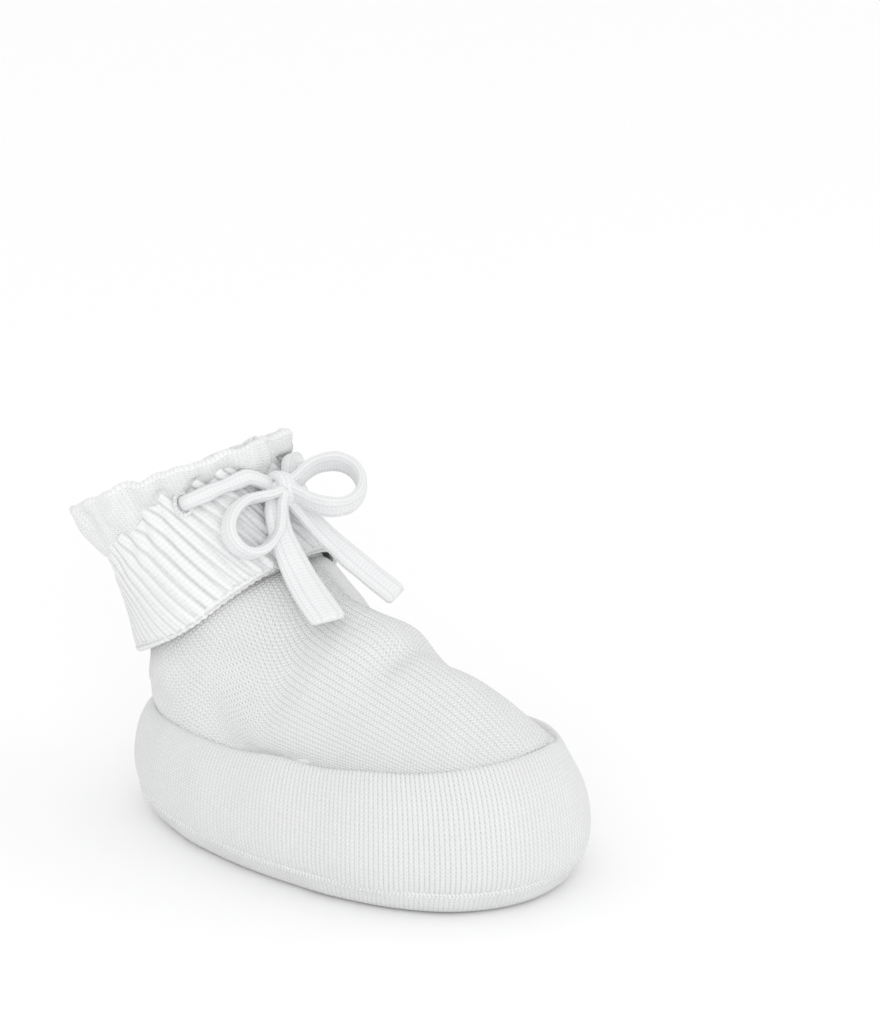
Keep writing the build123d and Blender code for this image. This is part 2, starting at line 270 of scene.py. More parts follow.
def grid_object(name, grid, stitches, material, round_rows=False):
    """A mesh through rows of points that go round. Stitches counts the stitches across and along at each
    point, with one column more than the points and, where the rows close up too, one row more. It is
    the UV map that the knit materials read."""
    rows, columns = grid.shape[:2]
    row = np.arange(rows if round_rows else rows - 1)[:, None]
    column = np.arange(columns)[None, :]
    corners = ((0, 0), (0, 1), (1, 1), (1, 0))
    faces = np.stack([((row + r) % rows) * columns + (column + c) % columns for r, c in corners], -1)
    uv = np.stack([stitches[row + r, column + c] for r, c in corners], 2)
    mesh = bpy.data.meshes.new(name)
    mesh.from_pydata((grid.reshape(-1, 3) * MM).tolist(), [], faces.reshape(-1, 4).tolist())
    mesh.uv_layers.new(name="stitches").data.foreach_set("uv", uv.astype(np.float32).ravel())
    mesh.polygons.foreach_set("use_smooth", [True] * len(mesh.polygons))
    mesh.materials.append(material)
    obj = bpy.data.objects.new(name, mesh)
    bpy.context.collection.objects.link(obj)
    return obj


def edge_rows(start, end, direction):
    """Rows that round off an edge between two rows, bulging along direction."""
    middle, half = (start + end) / 2, (start - end) / 2
    out = direction * np.linalg.norm(half, axis=-1, keepdims=True)
    angles = [math.pi * (i + 1) / (EDGE_STEPS + 1) for i in range(EDGE_STEPS)]
    return np.stack([middle + half * math.cos(a) + out * math.sin(a) for a in angles])


def shell_object(name, outside, stitches, thickness, material, relief=0.0):
    """A closed skin of the given thickness. Relief is how far its outside is pushed out."""
    normals = grid_normals(outside)
    inside = outside - normals * thickness
    raised = outside + normals * np.asarray(relief)[..., None]
    top = edge_rows(raised[-1], inside[-1], unit(outside[-1] - outside[-2]))
    bottom = edge_rows(inside[0], raised[0], unit(outside[0] - outside[1]))
    grid = np.concatenate([raised, top, inside[::-1], bottom])
    count = np.concatenate([
        stitches, np.repeat(stitches[-1:], EDGE_STEPS, 0), stitches[::-1],
        np.repeat(stitches[:1], EDGE_STEPS, 0), stitches[:1],
    ])
    return grid_object(name, grid, count, material, round_rows=True)


def round_stitches(rows, columns, around, along):
    """Stitch counts on a grid that goes round once: around in all, and along for each row."""
    across = np.broadcast_to(np.linspace(0, around, columns + 1)[None, :], (rows, columns + 1))
    up = np.broadcast_to(np.asarray(along, float).reshape(rows, -1), (rows, columns + 1))
    return np.stack([across, up], -1)


def tube_stitches(line, closed, columns, around):
    """Stitch counts on a tube that follows a line."""
    distance = line_distance(line)
    if closed:
        distance = np.append(distance, distance[-1])
    return round_stitches(len(distance), columns, around, distance / COURSE)


def ridges(count, sharpness):
    """1 on top of a column of stitches and 0 in the groove beside it."""
    return 1 - np.abs(2 * (count % 1) - 1) ** sharpness


# ---- the sole and the padded side ------------------------------------------------------------------

BAND_ROWS, PANEL_ROWS = 46, 18
LAYER_ROWS, LAYER_COLUMNS = 24, 320
INSOLE_ROWS, INSOLE_COLUMNS = 12, 200
PANEL_RINGS, INSOLE_RINGS = 19, 13
PAD_INSET, COVER_INSET = 5.2, 7.2
EDGE_ROUNDING = 0.5               # how far an insole layer's edge is rounded
PAD_CROWN, COVER_CROWN = 0.0, 0.5
WADDING_DEPTH, WADDING_THICKNESS = KNIT + 0.3, 3.0
LINING_DEPTH, LINING_THICKNESS = KNIT + 3.6, 1.0
MIDDLE_SHARE = 0.001              # how far out the ring nearest a middle lies


def slump(points):
    """The soft toe leans in and down a little on the +X side."""
    x, y, z = points[..., 0], points[..., 1], points[..., 2]
    weight = ramp(x, *SLUMP_X) * ramp(-y, *SLUMP_Y) * ramp(z, *SLUMP_Z)
    return points - weight[..., None] * np.array(TOE_SLUMP)


def sole_rows(levels, angles):
    """Egg outlines through the levels, one row to a level."""
    inset, toe_inset, heel_z, toe_z = (levels[:, i:i + 1] for i in range(4))
    toeward, sideways = power(np.cos(angles), SQUARENESS), power(np.sin(angles), SQUARENESS)
    end = np.where(toeward < 0, inset, toe_inset)
    y = -toeward * (SOLE_LENGTH / 2 - end)
    x = sideways * (SOLE_WIDTH / 2 - inset) * (1 + TOE_BREADTH * np.cos(angles))
    z = heel_z + (toe_z - heel_z) * (0.5 - y / SOLE_LENGTH)
    return slump(np.stack([x, y, z], -1))


def outline_distance():
    """Close angles round the sole's outline, and how far along the outline each one lies."""
    angles = np.linspace(0, TURN, OUTLINE_POINTS)
    return angles, line_distance(sole_rows(np.zeros((1, 4)), angles)[0])


def even_angles(count):
    """Angles that space points evenly along the sole's outline."""
    angles, distance = outline_distance()
    return np.interp(np.linspace(0, distance[-1], count, endpoint=False), distance, angles)


def outline_wales():
    """How many stitches go round the sole's outline."""
    return round(outline_distance()[1][-1] / WALE)


def make_side_band(material):
    columns = SIDE_WALES * POINTS_PER_WALE
    grid = sole_rows(even_levels(BAND_LEVELS, BAND_ROWS), even_angles(columns))
    distance = row_distance(grid)
    pull = wrinkles(grid, height=0.28, wavelength=26.0, seed=3)
    slack = wrinkles(grid, height=0.10, wavelength=9.0, seed=4) * fade(distance, 0.0, 12.0)[:, None]
    grid = pushed(grid, pull + slack)
    stitches = round_stitches(BAND_ROWS, columns, SIDE_WALES, distance / COURSE)
    relief = WALE_RELIEF * ridges(stitches[:, :-1, 0], sharpness=4)
    band = shell_object("side_band_knit", grid, stitches, KNIT, material, relief)
    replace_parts(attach(band, "foot"), "side_band")


def make_band_layer(name, node, depth, thickness, material):
    """A layer inside the padded side, at a depth from its skin."""
    levels = np.asarray(BAND_LEVELS[1:-2]) + np.array([depth, depth, 0.0, 0.0])
    grid = sole_rows(even_levels(levels, LAYER_ROWS), even_angles(LAYER_COLUMNS))
    grid = pushed(grid, wrinkles(grid, height=0.12, wavelength=8.0, seed=7))
    stitches = round_stitches(LAYER_ROWS, LAYER_COLUMNS, outline_wales(), row_distance(grid) / COURSE)
    layer = shell_object(name, grid, stitches, thickness, material)
    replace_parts(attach(layer, "foot"), node)
    return layer


def from_middle(row, rings, crown=0.0):
    """Rings that grow from the middle of a row of points out to it. Crown is how far the middle rises."""
    middle = row.mean(0)
    shares = np.linspace(MIDDLE_SHARE, 1, rings + 1)[:-1, None, None]
    points = middle + (row - middle) * shares
    points[..., 2] += crown * (1 - shares[..., 0] ** 2)
    return points


def make_sole_panel(material):
    columns = 2 * SIDE_WALES
    side = sole_rows(even_levels(PANEL_LEVELS, PANEL_ROWS), even_angles(columns))
    slack = wrinkles(side, height=0.35, wavelength=14.0, seed=11)
    side = pushed(side, slack * ramp(side[..., 2], 0.0, 3.0))
    grid = np.concatenate([from_middle(side[0], PANEL_RINGS), side])
    stitches = round_stitches(len(grid), columns, SIDE_WALES, row_distance(grid) / COURSE)
    panel = shell_object("sole_panel_knit", grid, stitches, KNIT, material)
    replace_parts(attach(panel, "foot"), "sole_panel")


def flat_stitches(grid):
    """Stitch counts read straight off the plan."""
    closed = np.concatenate([grid, grid[:, :1]], 1)
    return np.stack([closed[..., 0] / WALE, closed[..., 1] / COURSE], -1)


def make_insole_layer(name, node, levels, crown, material):
    """A flat closed form. Levels pair an inset with a height, and crown is how far its top rises."""
    levels = [(inset, inset, height, height) for inset, height in levels]
    side = sole_rows(even_levels(levels, INSOLE_ROWS), even_angles(INSOLE_COLUMNS))
    under, over = from_middle(side[0], INSOLE_RINGS), from_middle(side[-1], INSOLE_RINGS, crown)
    grid = np.concatenate([under, side, over[::-1]])
    layer = grid_object(name, grid, flat_stitches(grid), material)
    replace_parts(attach(layer, "foot"), node)
    return layer


def make_insole(pad_material, cover_material):
    low, high = (corner.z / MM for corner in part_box("insole_pad"))
    levels = (
        (PAD_INSET + 2.0, low),
        (PAD_INSET + EDGE_ROUNDING, low + EDGE_ROUNDING),
        (PAD_INSET, low + 1.7),
        (PAD_INSET + EDGE_ROUNDING, high - EDGE_ROUNDING),
        (PAD_INSET + 2.0, high),
    )
    pad = make_insole_layer("insole_padding", "insole_pad", levels, PAD_CROWN, pad_material)
    low, high = (corner.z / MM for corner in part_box("insole_cover"))
    levels = ((COVER_INSET + 1.0, low), (COVER_INSET, low + EDGE_ROUNDING), (COVER_INSET + 1.0, high))
    make_insole_layer("insole_knit", "insole_cover", levels, COVER_CROWN, cover_material)


# ---- seams -----------------------------------------------------------------------------------------

ROPE_SIDES, ROPE_WALES = 10, 3
ROPE_WAIST = 0.62                 # how thin a rope of stitches is between two stitches
SEAM_POINTS, HEEL_POINTS = 1300, 60

# The length of a stitch and the radius of its rope
SOLE_STITCH, TOP_STITCH, HEEL_STITCH = (2.1, 0.8), (1.6, 0.6), (1.8, 0.8)
CAST_OFF_STITCH, EYELET_STITCH = (1.75, 0.95), (1.1, 0.5)


def stitched_rope(name, line, stitch, material, body, node, closed=True):
    """A row of slanting overcast stitches that follows a line of points."""
    length, radius = stitch
    tangent = line_tangents(line, closed)
    side = unit(np.cross(tangent, (0.0, 0.0, 1.0)))
    up = np.cross(side, tangent)
    angle = np.arange(ROPE_SIDES) * TURN / ROPE_SIDES
    slanted = line_distance(line)[:, None] / length + 0.5 * np.sin(angle)[None, :]
    size = radius * (ROPE_WAIST + (1 - ROPE_WAIST) * np.abs(np.sin(math.pi * slanted)) ** 0.6)
    ring = side[:, None] * np.cos(angle)[None, :, None] + up[:, None] * np.sin(angle)[None, :, None]
    grid = line[:, None] + ring * size[..., None]
    stitches = tube_stitches(line, closed, ROPE_SIDES, ROPE_WALES)
    rope = grid_object(name, grid, stitches, material, round_rows=closed)
    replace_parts(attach(rope, body), node)


def make_foot_seams(material):
    angles = even_angles(SEAM_POINTS)
    sole_line = sole_rows(np.array([SOLE_SEAM_LEVEL]), angles)[0]
    stitched_rope("sole_seam_stitches", sole_line, SOLE_STITCH, material, "foot", "sole_seam")
    top_line = sole_rows(np.array([TOP_SEAM_LEVEL]), angles)[0]
    stitched_rope("top_seam_stitches", top_line, TOP_STITCH, material, "foot", "top_seam")
    low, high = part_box("heel_seam")
    y = np.linspace(high.y / MM, low.y / MM, HEEL_POINTS)
    z = np.linspace(low.z / MM, high.z / MM, HEEL_POINTS)
    heel_line = np.stack([np.zeros(HEEL_POINTS), y, z], -1)
    stitched_rope(
        "heel_seam_stitches", heel_line, HEEL_STITCH, material, "foot", "heel_seam",
        closed=False,
    )


# ---- the upper -------------------------------------------------------------------------------------

UPPER_ROWS, UPPER_COLUMNS = 170, 560
ROOF_POWER, DOME_POWER = 1.63, 2.7    # the vamp's section, and that of the levels it starts from
CREST_DROP = 1.4                      # how much lower the vamp's crest lies than its levels say
CREASE_INSET, CREASE_TOE_INSET = 3.5, 5.5
VAMP_FRONT, VAMP_BACK = 2.0, 20.0     # y between which the dome passes into the ridge
VAMP_SLOPE = math.radians(19.0)
INSTEP = np.array([10.0, 55.8])       # y and z where the vamp meets the leg
FAN_RADIUS = 40.0                     # the courses fan out about a line this far in front of and above it
FAN_STITCH_RADIUS = 54.0              # the radius at which the fan's stitches have their full height

# Seen from the side, the columns of stitches run level with this line of y and z
WALE_FLOW = (
    (-50.0, 30.5), (-43.0, 34.4), (-33.0, 39.8), (-18.0, 46.2), (-3.0, 52.0), (5.5, 56.5), (12.0, 61.5),
    (20.0, 69.5), (30.0, 81.0), (55.0, 112.0),
)
FLOW_POWER = 1.3
UPPER_WALE = 1.2
LEG_SPREAD, VAMP_SPREAD = 25.0, 0.92
FOLD_EDGE = 6.0                       # the folds grow from nothing over this much at either edge

# Folds of the instep, the ankle's side and the vamp: how high, where and how wide along x, y and z
FOLDS = (
    (1.4, (9.5, -8.5, 45.0), (8.0, 5.0, 6.0)),
    (1.1, (-6.5, -8.7, 47.9), (7.0, 4.6, 6.0)),
    (-1.9, (-4.0, -15.6, 45.8), (6.0, 2.8, 5.0)),
    (-1.7, (8.0, -19.0, 43.0), (9.0, 6.0, 6.0)),
    (-0.8, (13.0, -27.0, 38.0), (8.0, 8.0, 6.0)),
    (-0.9, (-19.0, 16.0, 48.0), (5.0, 4.0, 7.0)),
    (0.7, (-21.0, 8.0, 44.0), (6.0, 5.0, 7.0)),
)


def upper_rows(levels, angles):
    """Rings through the levels, one row to a level."""
    front_y, front_z, back_y, back_z = (levels[:, i:i + 1] for i in range(4))
    half_width, squareness, breadth = (levels[:, i:i + 1] for i in range(4, 7))
    along, across = power(np.cos(angles), squareness), power(np.sin(angles), squareness)
    y = (front_y + back_y) / 2 + along * (front_y - back_y) / 2
    z = (front_z + back_z) / 2 + along * (front_z - back_z) / 2
    x = across * half_width * (1 + breadth * np.cos(angles))
    return np.stack([x, y, z], -1)


def upper_along(y, z):
    """How far along the knit points lie: down the leg, round the instep and out along the vamp."""
    leg_up = np.array([math.sin(LEAN), math.cos(LEAN)])
    vamp_up = np.array([math.cos(VAMP_SLOPE), math.sin(VAMP_SLOPE)])
    inward = unit(leg_up + vamp_up)
    pivot = INSTEP + FAN_RADIUS * np.array([-inward[1], inward[0]])
    offset = np.stack([y, z], -1) - pivot
    half_fan = math.acos(float(leg_up @ vamp_up)) / 2
    turned = np.arctan2(offset @ inward, offset @ np.array([inward[1], -inward[0]]))
    up_the_leg = np.where(turned > half_fan, offset @ leg_up, 0.0)
    down_the_vamp = np.where(turned < -half_fan, offset @ vamp_up, 0.0)
    return up_the_leg + down_the_vamp + np.clip(turned, -half_fan, half_fan) * FAN_STITCH_RADIUS


def upper_across(x, y, z):
    """How far across the knit points lie from its middle, which runs down the front."""
    from_axis = (y - HEM_CENTRE[1]) * math.cos(LEAN) - (z - HEM_CENTRE[2]) * math.sin(LEAN)
    leg_across = LEG_SPREAD * np.arctan2(x, -from_axis)
    depth = np.maximum(curve_at(WALE_FLOW, y) - z, 0.0) * ramp(np.abs(x), 0.0, 6.0)
    spread = (np.abs(x) ** FLOW_POWER + depth ** FLOW_POWER) ** (1 / FLOW_POWER)
    vamp_across = VAMP_SPREAD * np.sign(x) * spread
    on_leg = ramp(y + 0.35 * (z - HEM_CENTRE[2]), 8.0, 34.0)
    return on_leg * leg_across + (1 - on_leg) * vamp_across


def upper_stitches(grid):
    """Stitch counts of the upper. Its last column of stitches meets the first one at the back."""
    x, y, z = grid[..., 0], grid[..., 1], grid[..., 2]
    stitches = np.stack([upper_across(x, y, z) / UPPER_WALE, upper_along(y, z) / COURSE], -1)
    stitches = np.concatenate([stitches, stitches[:, :1]], 1)
    stitches[:, -1, 0] += round(TURN * LEG_SPREAD / UPPER_WALE)
    return stitches


def seam_half_width(toeward):
    """Half the width inside the crease, at a share of the way from the middle to the toe."""
    half_width = (SOLE_WIDTH / 2 - CREASE_INSET) * (1 - np.abs(toeward) ** SQUARENESS) ** (1 / SQUARENESS)
    return half_width * (1 + TOE_BREADTH * toeward)


def roof(grid):
    """The knit is drawn straight from the instep down to the side, so the vamp is a soft ridge and not
    a dome. Heights above the seam shrink with the distance from the middle."""
    y = grid[..., 1]
    seam_z = SEAM_HEEL + (SEAM_TOE - SEAM_HEEL) * (0.5 - y / SOLE_LENGTH)
    toeward = np.clip(-y / (SOLE_LENGTH / 2 - CREASE_TOE_INSET), -0.98, 0.98)
    share = np.clip(np.abs(grid[..., 0]) / seam_half_width(toeward), 0, 0.995)
    squeeze = (1 - share ** ROOF_POWER) / (1 - share ** DOME_POWER) ** (1 / DOME_POWER)
    rows = np.linspace(0, 1, len(grid))[:, None]
    weight = fade(y, VAMP_FRONT, VAMP_BACK) * fade(rows, 0.7, 1.0)
    above = np.maximum(grid[..., 2] - seam_z, 0.0)
    crest = 1 - CREST_DROP / np.maximum(above, 8.0)
    lowered = grid.copy()
    lowered[..., 2] -= weight * above * (1 - squeeze * crest)
    return lowered


def gaussian(grid, centre, sizes):
    """A soft bump at a place, with its own size along x, y and z."""
    return np.exp(-(((grid - np.array(centre)) / np.array(sizes)) ** 2).sum(-1))


def make_upper(material):
    angles = (np.arange(UPPER_COLUMNS) + 0.5) / UPPER_COLUMNS * TURN - math.pi
    angles = angles + 0.10 * np.sin(2 * angles)
    dome = upper_rows(even_levels(UPPER_LEVELS, UPPER_ROWS), angles)
    stitches = upper_stitches(dome)
    grid = slump(roof(dome))
    push = wrinkles(grid, height=0.35, wavelength=18.0, seed=21)
    push += sum(height * gaussian(grid, centre, sizes) for height, centre, sizes in FOLDS)
    distance = row_distance(grid)
    inside = ramp(distance, 0.0, FOLD_EDGE) * fade(distance, distance[-1] - FOLD_EDGE, distance[-1])
    upper = shell_object("knit_upper", pushed(grid, push * inside[:, None]), stitches, KNIT, material)
    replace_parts(upper, "upper", "ankle_stretch")
    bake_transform(upper)


# ---- the ankle -------------------------------------------------------------------------------------

LEG_ROWS, LEG_COLUMNS, LEG_WALES = 44, 480, 116
CUFF_ROWS, POINTS_PER_RIB = 56, 20
RIB_HEIGHT, RIB_ROUNDNESS = 1.25, 0.6
WAIST_START, WAIST_END = 10.0, 19.0   # heights over which the drawstring gathers the cuff
WAIST_GATHER, WAIST_FLATTENING = 0.45, 0.45
FRILL_ROWS, FRILL_COLUMNS, FRILL_WALES = 34, 960, 150
FRILL_THICKNESS = 1.9
SCALLOPS, SCALLOP_HEIGHT = 13, 0.35
HEM_POINTS, EYELET_POINTS = 1200, 90
CUFF_LIFT, CAST_OFF_LIFT = 0.9, 0.75  # how far the cuff's edge and its chain lie above the hem's curve


def from_ankle(radius, angle, height):
    """Points about the leaning axis. Angles run from the front towards +X."""
    x, q = radius * np.sin(angle), -radius * np.cos(angle)
    y = HEM_CENTRE[1] + q * math.cos(LEAN) + height * math.sin(LEAN)
    z = HEM_CENTRE[2] - q * math.sin(LEAN) + height * math.cos(LEAN)
    return np.stack(np.broadcast_arrays(x, y, z), -1)


def even_turn(columns):
    """Angles round the ankle, from the back through the front."""
    return np.arange(columns) * TURN / columns - math.pi


def side_rise(angle):
    """How far the drawstring's line lies above its height at the front: it climbs to the eyelets, and
    is down again behind them."""
    from_front = np.abs((angle + math.pi) % TURN - math.pi)
    return SIDE_RISE * ramp(from_front, 0.0, 0.3) * fade(from_front, 1.1, 1.9)


def hem_height(angle):
    return curve_at(HEM_CURVE, -HEM_RADIUS * np.cos(angle))


def gathers(angle, seed, folds):
    """Uneven folds round the ankle, between about -1 and 1."""
    random = np.random.default_rng(seed)
    total = np.zeros_like(angle)
    for count in (folds - 5, folds, folds + 4):
        total = total + np.cos(count * angle + random.uniform(0, TURN)) * random.uniform(0.5, 1.0)
    return total / 2.2


def make_inner_leg(material):
    angle = even_turn(LEG_COLUMNS)[None, :]
    height = np.linspace(LEG_PROFILE[0][0], LEG_PROFILE[-1][0], LEG_ROWS)[:, None]
    grid = from_ankle(curve_at(LEG_PROFILE, height), angle, height)
    grid = pushed(grid, wrinkles(grid, height=0.25, wavelength=9.0, seed=31))
    stitches = round_stitches(LEG_ROWS, LEG_COLUMNS, LEG_WALES, height / COURSE)
    leg = shell_object("inner_leg", grid, stitches, KNIT, material)
    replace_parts(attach(leg, "ankle_cuff"), "ankle_tube")


def rib_relief(grid, angle, twist, waist):
    """How far the ribs stand out. They are flatter round the back and where the drawstring gathers them."""
    rib = np.abs(np.cos(math.pi * (RIBS * (angle + math.pi) / TURN + twist))) ** RIB_ROUNDNESS
    strength = 0.68 + wrinkles(grid, height=0.22, wavelength=14.0, seed=43)
    strength = strength * (1 - 0.6 * ramp(np.abs(angle), 1.0, 1.7))
    return RIB_HEIGHT * np.clip(strength, 0.2, 1.0) * rib * (1 - WAIST_FLATTENING * waist)


def make_cuff(material):
    columns = RIBS * POINTS_PER_RIB
    angle = even_turn(columns)[None, :]
    low = hem_height(angle) + CUFF_LIFT
    height = low + np.linspace(0, 1, CUFF_ROWS)[:, None] * (CUFF_PROFILE[-1][0] - low)
    waist = ramp(height, WAIST_START, WAIST_END)
    radius = curve_at(CUFF_PROFILE, height) + WAIST_GATHER * waist * gathers(angle, seed=41, folds=30)
    lifted = height + side_rise(angle) * ramp(height, 0.0, STRING_HEIGHT)
    grid = from_ankle(radius, angle, lifted)
    grid = pushed(grid, wrinkles(grid, height=0.35, wavelength=16.0, seed=42))
    twist = RIB_TWIST * height * RIBS / TURN
    stitches = round_stitches(CUFF_ROWS, columns, RIBS, (height / COURSE).mean(1))
    stitches[..., 0] += 0.5 + twist.mean(1)[:, None]
    relief = rib_relief(grid, angle, twist, waist)
    cuff = shell_object("rib_cuff_knit", grid, stitches, KNIT, material, relief)
    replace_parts(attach(cuff, "ankle_cuff"), "rib_cuff")


def make_cuff_hem(material):
    angle = even_turn(HEM_POINTS)
    line = from_ankle(CAST_OFF_RADIUS, angle, hem_height(angle) + CAST_OFF_LIFT)
    stitched_rope("cuff_cast_off", line, CAST_OFF_STITCH, material, "ankle_cuff", "cuff_hem")


def frill_folds(angle, share):
    """Fine and wide folds of the ruffle, which lean opposite ways and deepen towards its edge."""
    fine = 0.12 * gathers(angle + 0.05 * share, seed=52, folds=34)
    wide = 0.70 * gathers(angle - 0.10 * share, seed=53, folds=13)
    return (fine + wide) * (0.35 + 0.65 * ramp(share, 0.0, 0.625))


def make_frill(material):
    angle = even_turn(FRILL_COLUMNS)[None, :]
    share = np.linspace(0, 1, FRILL_ROWS)[:, None]
    top = curve_at(FRILL_TRIM, -TRIM_RADIUS * np.cos(angle)) - 0.2
    top = top + SCALLOP_HEIGHT * np.abs(np.sin(SCALLOPS * angle)) + 0.7 * gathers(angle, seed=51, folds=9)
    base = FRILL_PROFILE[0][0]
    height = base + share * (top - base)
    radius = curve_at(FRILL_PROFILE, height) + frill_folds(angle, share)
    grid = from_ankle(radius, angle, height + side_rise(angle) * (1 - share) ** 1.5)
    grid = pushed(grid, wrinkles(grid, height=0.7, wavelength=8.5, seed=54))
    stitches = round_stitches(FRILL_ROWS, FRILL_COLUMNS, FRILL_WALES, (height / COURSE).mean(1))
    frill = shell_object("frill_ruffle", grid, stitches, FRILL_THICKNESS, material)
    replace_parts(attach(frill, "ankle_cuff"), "frill")


def make_eyelets(material):
    turn = np.arange(EYELET_POINTS) * TURN / EYELET_POINTS
    for side, name in ((-1, "left"), (1, "right")):
        angle = side * EYELET_ANGLE + EYELET_HALF_WIDTH * np.sin(turn) / CUFF_RADIUS
        height = STRING_HEIGHT + side_rise(side * EYELET_ANGLE) + EYELET_HALF_HEIGHT * np.cos(turn)
        line = from_ankle(CUFF_RADIUS + EYELET_OUT, angle, height)
        stitched_rope(
            f"eyelet_rim_{name}", line, EYELET_STITCH, material, "ankle_cuff",
            f"eyelet_{name}",
        )


# ---- the flat cord ---------------------------------------------------------------------------------

CORD_SIDES, CORD_WALES = 40, 10
CORD_GROOVE = 0.10
CORD_WIDE_SQUARENESS, CORD_THICK_SQUARENESS = 3.4, 2.6
CORD_END_WIDTH = 0.86              # how wide a cord's rounded end is, as a share of its width
STRING_WIDTH, WRAP_WIDTH = 3.4, 4.6
STRING_RADIUS, STRING_OUT, KNOT_OUT = 19.2, 4.1, 1.3
STRING_POINTS, WRAP_POINTS = 420, 72
WRAP_HEIGHT, WRAP_DEPTH, WRAP_LEAN = 2.9, 2.3, 0.35
CORE_RADII = (3.1, 2.3, 2.6)
CORE_ROWS, CORE_COLUMNS = 24, 48
CORE_WALES, CORE_COURSES = 16, 8


def flat_cord(name, line, width_direction, width, material, end_width=None, closed=False):
    """A knitted flat cord along a line of points, its width lying along width_direction."""
    tangent = line_tangents(line, closed)
    wide = np.asarray(width_direction, float)
    wide = unit(wide - tangent * (tangent * wide).sum(-1, keepdims=True))
    thick = np.cross(tangent, wide)
    angle = np.arange(CORD_SIDES) * TURN / CORD_SIDES
    across = power(np.cos(angle), CORD_WIDE_SQUARENESS)
    through = power(np.sin(angle), CORD_THICK_SQUARENESS)
    distance = line_distance(line)
    widening = ramp(distance / distance[-1], 1 / 12, 11 / 12)
    half_width = (width + ((end_width or width) - width) * widening) / 2
    groove = 1 - CORD_GROOVE * (1 - ridges(across * 2.0 + 0.5, sharpness=3))[None, :]
    half_thickness = CORD_THICKNESS / 2 * groove
    if not closed:
        from_end = np.minimum(distance, distance[-1] - distance) / (CORD_THICKNESS / 2)
        rounding = np.sqrt(np.clip(1 - (1 - np.clip(from_end, 0, 1)) ** 2, 0.02, 1))
        half_thickness = half_thickness * rounding[:, None]
        half_width = half_width * (CORD_END_WIDTH + (1 - CORD_END_WIDTH) * rounding)
    grid = (
        line[:, None]
        + wide[:, None] * (half_width[:, None] * across)[..., None]
        + thick[:, None] * (half_thickness * through)[..., None]
    )
    uneven = wrinkles(grid, height=0.12, wavelength=5.0, seed=61)
    grid = grid + unit(grid - line[:, None]) * uneven[..., None]
    stitches = tube_stitches(line, closed, CORD_SIDES, CORD_WALES)
    return grid_object(name, grid, stitches, material, round_rows=closed)


def close_ends(obj):
    """Fill the two open ends of a flat cord."""
    mesh = obj.data
    count = len(mesh.vertices)
    points = [vertex.co.copy() for vertex in mesh.vertices]
    faces = [tuple(polygon.vertices) for polygon in mesh.polygons]
    faces += [tuple(range(CORD_SIDES))[::-1], tuple(range(count - CORD_SIDES, count))]
    uv = [tuple(item.uv) for item in mesh.uv_layers["stitches"].data]
    uv += [(0.0, 0.0)] * (2 * CORD_SIDES)
    closed = bpy.data.meshes.new(obj.name)
    closed.from_pydata(points, [], faces)
    closed.uv_layers.new(name="stitches").data.foreach_set("uv", np.array(uv, np.float32).ravel())
    closed.polygons.foreach_set("use_smooth", [True] * len(closed.polygons))
    closed.materials.append(mesh.materials[0])
    obj.data = closed
    return obj


def declare_cord(obj, body, node):
    """Attach a flat cord to its body, in place of the part it stands for."""
    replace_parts(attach(obj, body), node)


def make_loop(side, outline, along, face, lift, material):
    """A loop of the bow. Its outline pairs places along it with half widths, and its far half is the mirror
    of the near one."""
    along, face = unit(np.array(along)), unit(np.array(face))
    across = np.cross(face, along)
    origin = np.array(KNOT_CENTRE) + face * lift
    go = [origin + along * s + across * t for s, t in outline]
    back = [origin + along * s - across * t for s, t in outline[-2::-1]]
    line = route_line(go + back)
    loop = close_ends(flat_cord(f"bow_loop_{side}_cord", line, face, CORD_WIDTH, material))
    declare_cord(loop, f"loop_{side}", f"bow_loop_{side}")


def make_tail(side, route, wide, end_width, material):
    line = route_line(route)
    tail = flat_cord(f"bow_tail_{side}_cord", line, wide, CORD_WIDTH, material, end_width=end_width)
    declare_cord(close_ends(tail), f"tail_{side}", f"bow_tail_{side}")


def make_bow(material):
    make_loop("left", LOOP_LEFT_OUTLINE, LOOP_LEFT_ALONG, LOOP_LEFT_FACE, LOOP_LEFT_LIFT, material)
    make_loop("right", LOOP_RIGHT_OUTLINE, LOOP_RIGHT_ALONG, LOOP_RIGHT_FACE, LOOP_RIGHT_LIFT, material)
    make_tail("left", TAIL_LEFT, TAIL_LEFT_WIDE, TAIL_LEFT_END, material)
    make_tail("right", TAIL_RIGHT, TAIL_RIGHT_WIDE, TAIL_RIGHT_END, material)


def make_knot_wrap(material):
    """The cord's turn over the crossing."""
    up = np.array([0.0, math.sin(LEAN), math.cos(LEAN)])
    out = np.array([0.0, -math.cos(LEAN), math.sin(LEAN)])
    lean = unit(up + np.array([WRAP_LEAN, 0.0, 0.0]))
    turn = np.arange(WRAP_POINTS) * TURN / WRAP_POINTS
    around = np.outer(np.cos(turn) * WRAP_HEIGHT, lean) + np.outer(np.sin(turn) * WRAP_DEPTH, out)
    line = np.array(KNOT_CENTRE) + around
    wrap = flat_cord("bow_knot_wrap", line, np.cross(lean, out), WRAP_WIDTH, material, closed=True)
    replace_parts(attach(wrap, "ankle_cuff"), "bow_knot")


